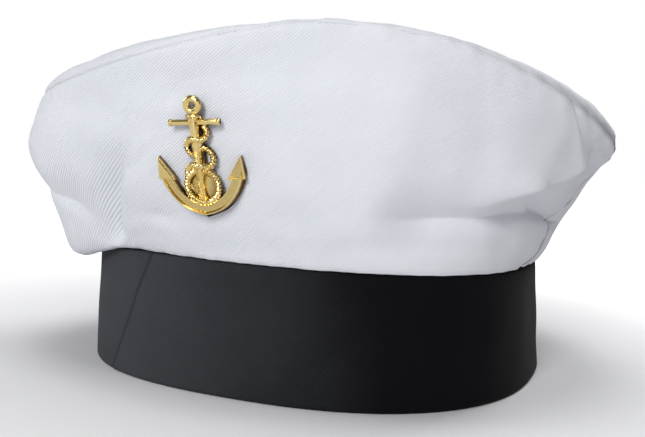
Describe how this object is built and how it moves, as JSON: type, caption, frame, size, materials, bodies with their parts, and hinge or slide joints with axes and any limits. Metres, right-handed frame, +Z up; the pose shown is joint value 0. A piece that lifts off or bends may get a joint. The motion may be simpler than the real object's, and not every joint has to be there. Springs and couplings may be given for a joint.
{
  "type": "sailor cap",
  "caption": "Soft white sailor cap with a flared, slumping crown on a stiff black head band, and a cast anchor badge pinned to the front.",
  "frame": {"origin": "middle of the head opening at the level of the band's lower edge, which the cap stands on", "axes": "+Z up through the crown, -Y out of the front of the cap where the badge is, +X to the right seen from the front"},
  "size_m": [0.2292, 0.2403, 0.125],
  "materials": {
    "white_twill": "matt white twill with a fine diagonal rib",
    "black_twill": "matt black twill with a diagonal rib",
    "gold_plate": "bright gold plate over a cast relief",
    "pin_steel": "plain steel"
  },
  "bodies": {
    "root": {"head_band": "black_twill", "side_panel_front": "white_twill", "side_panel_back": "white_twill", "crown_top": "white_twill", "anchor_badge": "gold_plate", "badge_pin": "pin_steel"}
  },
  "joints": []
}
